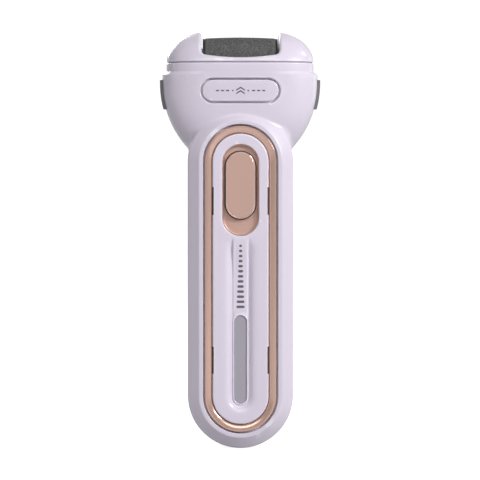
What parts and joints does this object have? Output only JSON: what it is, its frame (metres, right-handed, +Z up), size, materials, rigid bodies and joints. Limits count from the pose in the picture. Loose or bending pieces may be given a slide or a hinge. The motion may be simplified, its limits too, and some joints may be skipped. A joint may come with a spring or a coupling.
{
  "type": "electric callus remover",
  "caption": "Cordless foot callus remover: stadium-shaped handle with a slide switch and charge window, flared head and a lift-off cap carrying a powered abrasive roller.",
  "frame": {"origin": "lowest point of the handle, on the centre plane, half way through the depth", "axes": "+Z up the handle towards the roller, the front face looks to -Y, +X to the right seen from the front"},
  "size_m": [0.0674, 0.0344, 0.1737],
  "materials": {
    "lilac_white": "glossy lilac-white moulded plastic",
    "lilac_panel": "glossy lilac-white panel",
    "rose_gold": "rose gold metallised trim",
    "rose_gold_satin": "satin rose gold paint",
    "grey_lens": "smoked translucent lens",
    "clear_plastic": "clear moulded plastic",
    "board_green": "solder mask",
    "steel": "plated steel",
    "black_plastic": "black moulded plastic",
    "dark_grey_plastic": "dark grey moulded plastic",
    "grey_plastic": "mid grey moulded plastic",
    "grey_rubber": "dark grey rubber",
    "abrasive": "dark grey mineral grit",
    "led_white": "LED body",
    "cell_wrap": "blue shrink wrap",
    "black_foam": "foam",
    "wire_red": "insulated wire",
    "brass": "turned brass",
    "gear_plastic": "acetal"
  },
  "bodies": {
    "body": {"front_shell": "lilac_white", "rear_shell": "lilac_white", "front_panel": "lilac_panel", "trim_ring": "rose_gold", "switch_tray": "rose_gold", "indicator_lens": "grey_lens", "light_guide": "clear_plastic", "circuit_board": "board_green", "charge_port": "steel", "port_tongue": "black_plastic", "slide_switch_body": "steel", "indicator_leds": "led_white", "control_chips": "black_plastic", "battery_cell": "cell_wrap", "battery_pads": "black_foam", "battery_wires": "wire_red", "motor_wires": "wire_red", "motor_can": "steel", "motor_end_cap": "black_plastic", "motor_bush": "brass", "idler_axle": "steel", "gearbox_frame": "steel", "gear_cover": "black_plastic", "gearbox_screws": "steel", "spring_bracket": "black_plastic", "dust_tray": "dark_grey_plastic", "head_seal": "grey_rubber", "release_springs": "steel", "side_spring_left": "steel", "side_spring_right": "steel", "shell_screws": "steel"},
    "grinding_head": {"head_cap": "lilac_white", "head_catch": "steel", "roller_bushes": "brass"},
    "roller": {"roller_sleeve": "abrasive", "roller_core": "black_plastic", "roller_end_caps": "black_plastic", "roller_axle": "steel", "roller_gear": "gear_plastic"},
    "idler": {"idler_gear": "gear_plastic"},
    "motor_rotor": {"motor_shaft": "steel", "motor_armature": "steel", "motor_pinion": "brass"},
    "slider": {"slider_knob": "rose_gold_satin", "slider_carrier": "black_plastic", "switch_actuator": "black_plastic"},
    "release_button": {"release_button": "lilac_white"},
    "side_button_left": {"side_button_left": "grey_plastic"},
    "side_button_right": {"side_button_right": "grey_plastic"}
  },
  "joints": [
    {"name": "head_lift", "type": "slide", "parent": "body", "child": "grinding_head", "axis": [0, 0, 1], "range_m": [0, 0.02]},
    {"name": "roller_spin", "type": "hinge", "parent": "grinding_head", "child": "roller", "pos_m": [0, -0.001, 0.1618], "axis": [1, 0, 0], "continuous": true},
    {"name": "idler_spin", "type": "hinge", "parent": "body", "child": "idler", "pos_m": [0, 0.0004, 0.15039], "axis": [1, 0, 0], "continuous": true},
    {"name": "motor_spin", "type": "hinge", "parent": "body", "child": "motor_rotor", "pos_m": [0, 0.0019, 0.13949], "axis": [1, 0, 0], "continuous": true},
    {"name": "power_slide", "type": "slide", "parent": "body", "child": "slider", "axis": [0, 0, -1], "range_m": [0, 0.005]},
    {"name": "release_press", "type": "slide", "parent": "body", "child": "release_button", "axis": [0, 1, 0], "range_m": [0, 0.001], "stiffness_N_per_m": 300, "springref_m": -0.001, "deforming": ["release_springs"]},
    {"name": "left_press", "type": "slide", "parent": "body", "child": "side_button_left", "axis": [1, 0, 0], "range_m": [0, 0.0012], "stiffness_N_per_m": 300, "springref_m": -0.001, "deforming": ["side_spring_left"]},
    {"name": "right_press", "type": "slide", "parent": "body", "child": "side_button_right", "axis": [-1, 0, 0], "range_m": [0, 0.0012], "stiffness_N_per_m": 300, "springref_m": -0.001, "deforming": ["side_spring_right"]}
  ],
  "couplings": [
    {"joint": "idler_spin", "follows": "roller_spin", "ratio": -1.5556},
    {"joint": "motor_spin", "follows": "roller_spin", "ratio": 4.1481}
  ]
}
